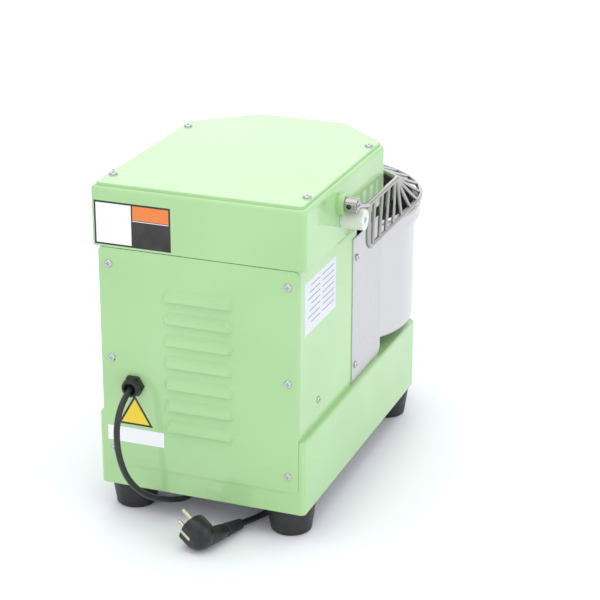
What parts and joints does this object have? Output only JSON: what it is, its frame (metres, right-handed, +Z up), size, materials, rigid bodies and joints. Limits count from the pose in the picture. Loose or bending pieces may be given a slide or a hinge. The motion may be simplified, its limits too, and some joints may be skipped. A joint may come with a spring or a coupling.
{
  "type": "spiral dough mixer",
  "caption": "Countertop spiral dough mixer with a turning bowl, a hooked spiral, a barred lift-up guard and a louvred rear panel.",
  "frame": {"origin": "centre of the footprint, on the table top that the rubber feet stand on, measured without the mains lead", "axes": "+Z up, -Y towards the bowl and the operator, +X to the operator's right"},
  "size_m": [0.3156, 0.58, 0.4144],
  "materials": {
    "green_powder_coat": "gloss powder coat",
    "stainless_steel": "satin stainless",
    "machine_steel": "turned and oiled steel",
    "zinc_screws": "zinc plated",
    "cast_iron": "painted casting",
    "cast_aluminium": "cast and turned aluminium",
    "black_rubber": "moulded rubber",
    "black_pvc": "extruded PVC",
    "black_plastic": "moulded plastic",
    "control_plastic": "dark moulded panel",
    "white_nylon": "turned nylon",
    "bearing_bronze": "sintered bronze",
    "nickel_pins": "nickel plated",
    "label_vinyl": "printed vinyl, left plain",
    "start_green": "gloss",
    "stop_red": "gloss"
  },
  "bodies": {
    "housing": {"base_shell": "green_powder_coat", "column_shell": "green_powder_coat", "rear_panel": "green_powder_coat", "head_shell": "green_powder_coat", "head_cover": "green_powder_coat", "side_plates": "stainless_steel", "breaker_bar": "stainless_steel", "base_floor": "machine_steel", "drive_chains": "machine_steel", "shaft_bearings": "machine_steel", "breaker_nut": "machine_steel", "motor_mount": "machine_steel", "foot_screws": "machine_steel", "housing_screws": "zinc_screws", "bowl_bearing_housing": "cast_iron", "spiral_bearing_housing": "cast_iron", "shaft_housings": "cast_iron", "motor_frame": "cast_aluminium", "feet": "black_rubber", "drive_belt": "black_rubber", "spiral_seal": "black_rubber", "power_cord": "black_pvc", "cable_gland": "black_plastic", "plug_body": "black_plastic", "plug_pins": "nickel_pins", "terminal_box": "black_plastic", "run_capacitor": "black_plastic", "guard_sensor": "black_plastic", "control_plate": "control_plastic", "guard_buffers": "white_nylon", "guard_bushes": "bearing_bronze", "labels": "label_vinyl"},
    "bowl": {"bowl": "stainless_steel", "bowl_hub": "cast_aluminium", "bowl_shaft": "machine_steel", "bowl_sprocket": "machine_steel", "bowl_seal": "black_rubber"},
    "spiral": {"spiral_hook": "stainless_steel", "spiral_shaft": "stainless_steel", "spiral_sprocket": "machine_steel"},
    "countershaft": {"countershaft": "machine_steel", "driven_pulley": "cast_aluminium", "countershaft_sprockets": "machine_steel"},
    "idler": {"idler_shaft": "machine_steel", "idler_sprockets": "machine_steel"},
    "rotor": {"motor_rotor": "machine_steel", "motor_pulley": "cast_aluminium", "cooling_fan": "black_plastic"},
    "guard": {"guard_top_rail": "stainless_steel", "guard_ring": "stainless_steel", "guard_slats": "stainless_steel", "guard_hubs": "stainless_steel", "guard_stubs": "stainless_steel", "guard_set_screws": "machine_steel", "guard_magnet": "black_plastic"},
    "start_button": {"start_button": "start_green"},
    "stop_button": {"stop_button": "stop_red"},
    "speed_dial": {"speed_dial": "black_plastic"}
  },
  "joints": [
    {"name": "motor_spin", "type": "hinge", "parent": "housing", "child": "rotor", "pos_m": [0, 0.1805, 0.25], "axis": [0, 0, 1], "continuous": true},
    {"name": "countershaft_spin", "type": "hinge", "parent": "housing", "child": "countershaft", "pos_m": [0, 0.0965, 0.25], "axis": [0, 0, 1], "continuous": true},
    {"name": "spiral_spin", "type": "hinge", "parent": "housing", "child": "spiral", "pos_m": [0, -0.015, 0.3], "axis": [0, 0, 1], "continuous": true},
    {"name": "idler_spin", "type": "hinge", "parent": "housing", "child": "idler", "pos_m": [0.06, -0.005, 0.08], "axis": [0, 0, 1], "continuous": true},
    {"name": "bowl_spin", "type": "hinge", "parent": "housing", "child": "bowl", "pos_m": [0, -0.11, 0.15], "axis": [0, 0, 1], "continuous": true},
    {"name": "guard_hinge", "type": "hinge", "parent": "housing", "child": "guard", "pos_m": [0, 0.145, 0.3844], "axis": [-1, 0, 0], "range_deg": [0, 108]},
    {"name": "start_press", "type": "slide", "parent": "housing", "child": "start_button", "axis": [-1, 0, 0], "range_m": [0, 0.003], "stiffness_N_per_m": 400},
    {"name": "stop_press", "type": "slide", "parent": "housing", "child": "stop_button", "axis": [-1, 0, 0], "range_m": [0, 0.004], "stiffness_N_per_m": 500},
    {"name": "speed_turn", "type": "hinge", "parent": "housing", "child": "speed_dial", "pos_m": [0.13, 0.168, 0.228], "axis": [-1, 0, 0], "range_deg": [0, 270]}
  ],
  "couplings": [
    {"joint": "countershaft_spin", "follows": "motor_spin", "ratio": 0.34483},
    {"joint": "spiral_spin", "follows": "motor_spin", "ratio": 0.14778},
    {"joint": "idler_spin", "follows": "motor_spin", "ratio": 0.099819},
    {"joint": "bowl_spin", "follows": "motor_spin", "ratio": 0.022182}
  ]
}
